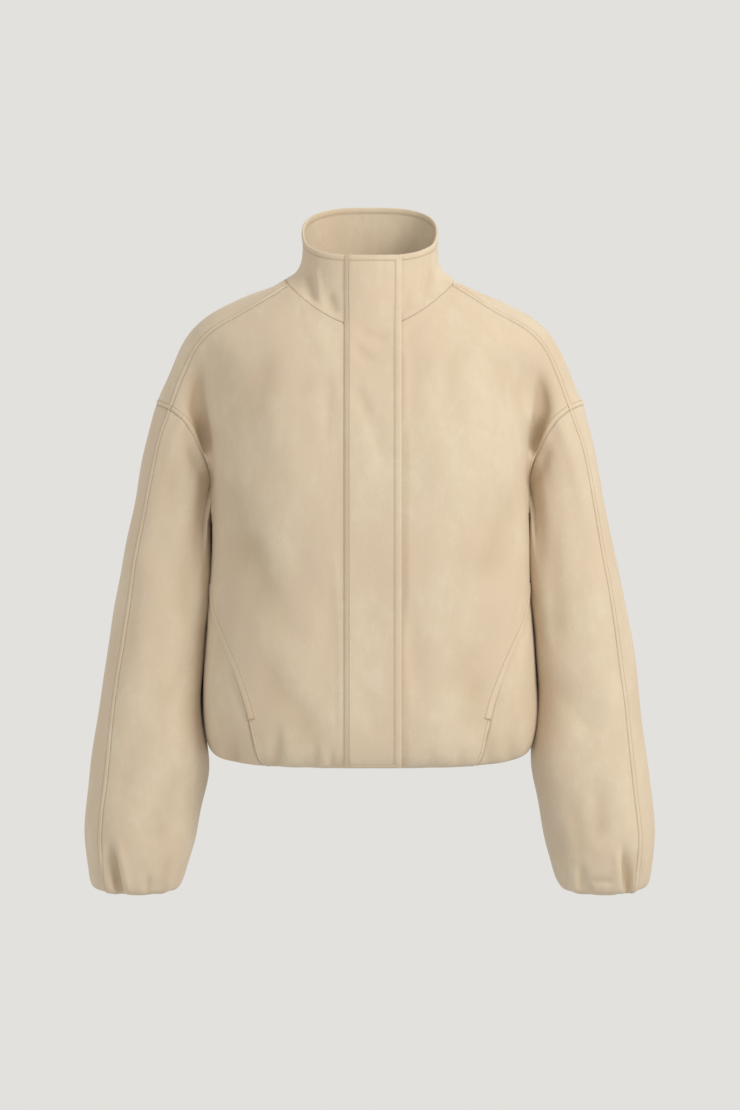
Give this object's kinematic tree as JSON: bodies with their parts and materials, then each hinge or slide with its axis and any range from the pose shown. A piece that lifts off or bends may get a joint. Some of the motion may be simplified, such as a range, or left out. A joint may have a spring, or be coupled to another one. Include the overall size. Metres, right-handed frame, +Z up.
{
  "type": "suede blouson jacket",
  "caption": "Cropped suede blouson jacket with a funnel collar, a storm flap over its closing, slanted pockets, balloon sleeves and elasticated hem and cuffs, filled out with no wearer.",
  "frame": {"origin": "middle of the neck opening, level with the inner ends of the shoulders, where the wearer's neck and shoulders hold the jacket up", "axes": "+Z up, -Y towards the front of the jacket, +X towards the wearer's left"},
  "size_m": [0.6402, 0.2422, 0.7668],
  "materials": {
    "suede": "matte brushed suede nap, warm sand",
    "suede_inside": "matte suede, turned in and gathered",
    "lining": "plain smooth pocket cloth",
    "zip": "woven tape with a closed plastic chain"
  },
  "bodies": {
    "root": {"back": "suede", "front_left": "suede", "front_right": "suede", "side_left": "suede", "side_right": "suede", "sleeve_left_front": "suede", "sleeve_left_back": "suede", "sleeve_right_front": "suede", "sleeve_right_back": "suede", "collar": "suede", "placket": "suede", "hem_casing": "suede_inside", "cuff_casing_left": "suede_inside", "cuff_casing_right": "suede_inside", "pocket_bag_left": "lining", "pocket_bag_right": "lining", "zip": "zip"}
  },
  "joints": []
}
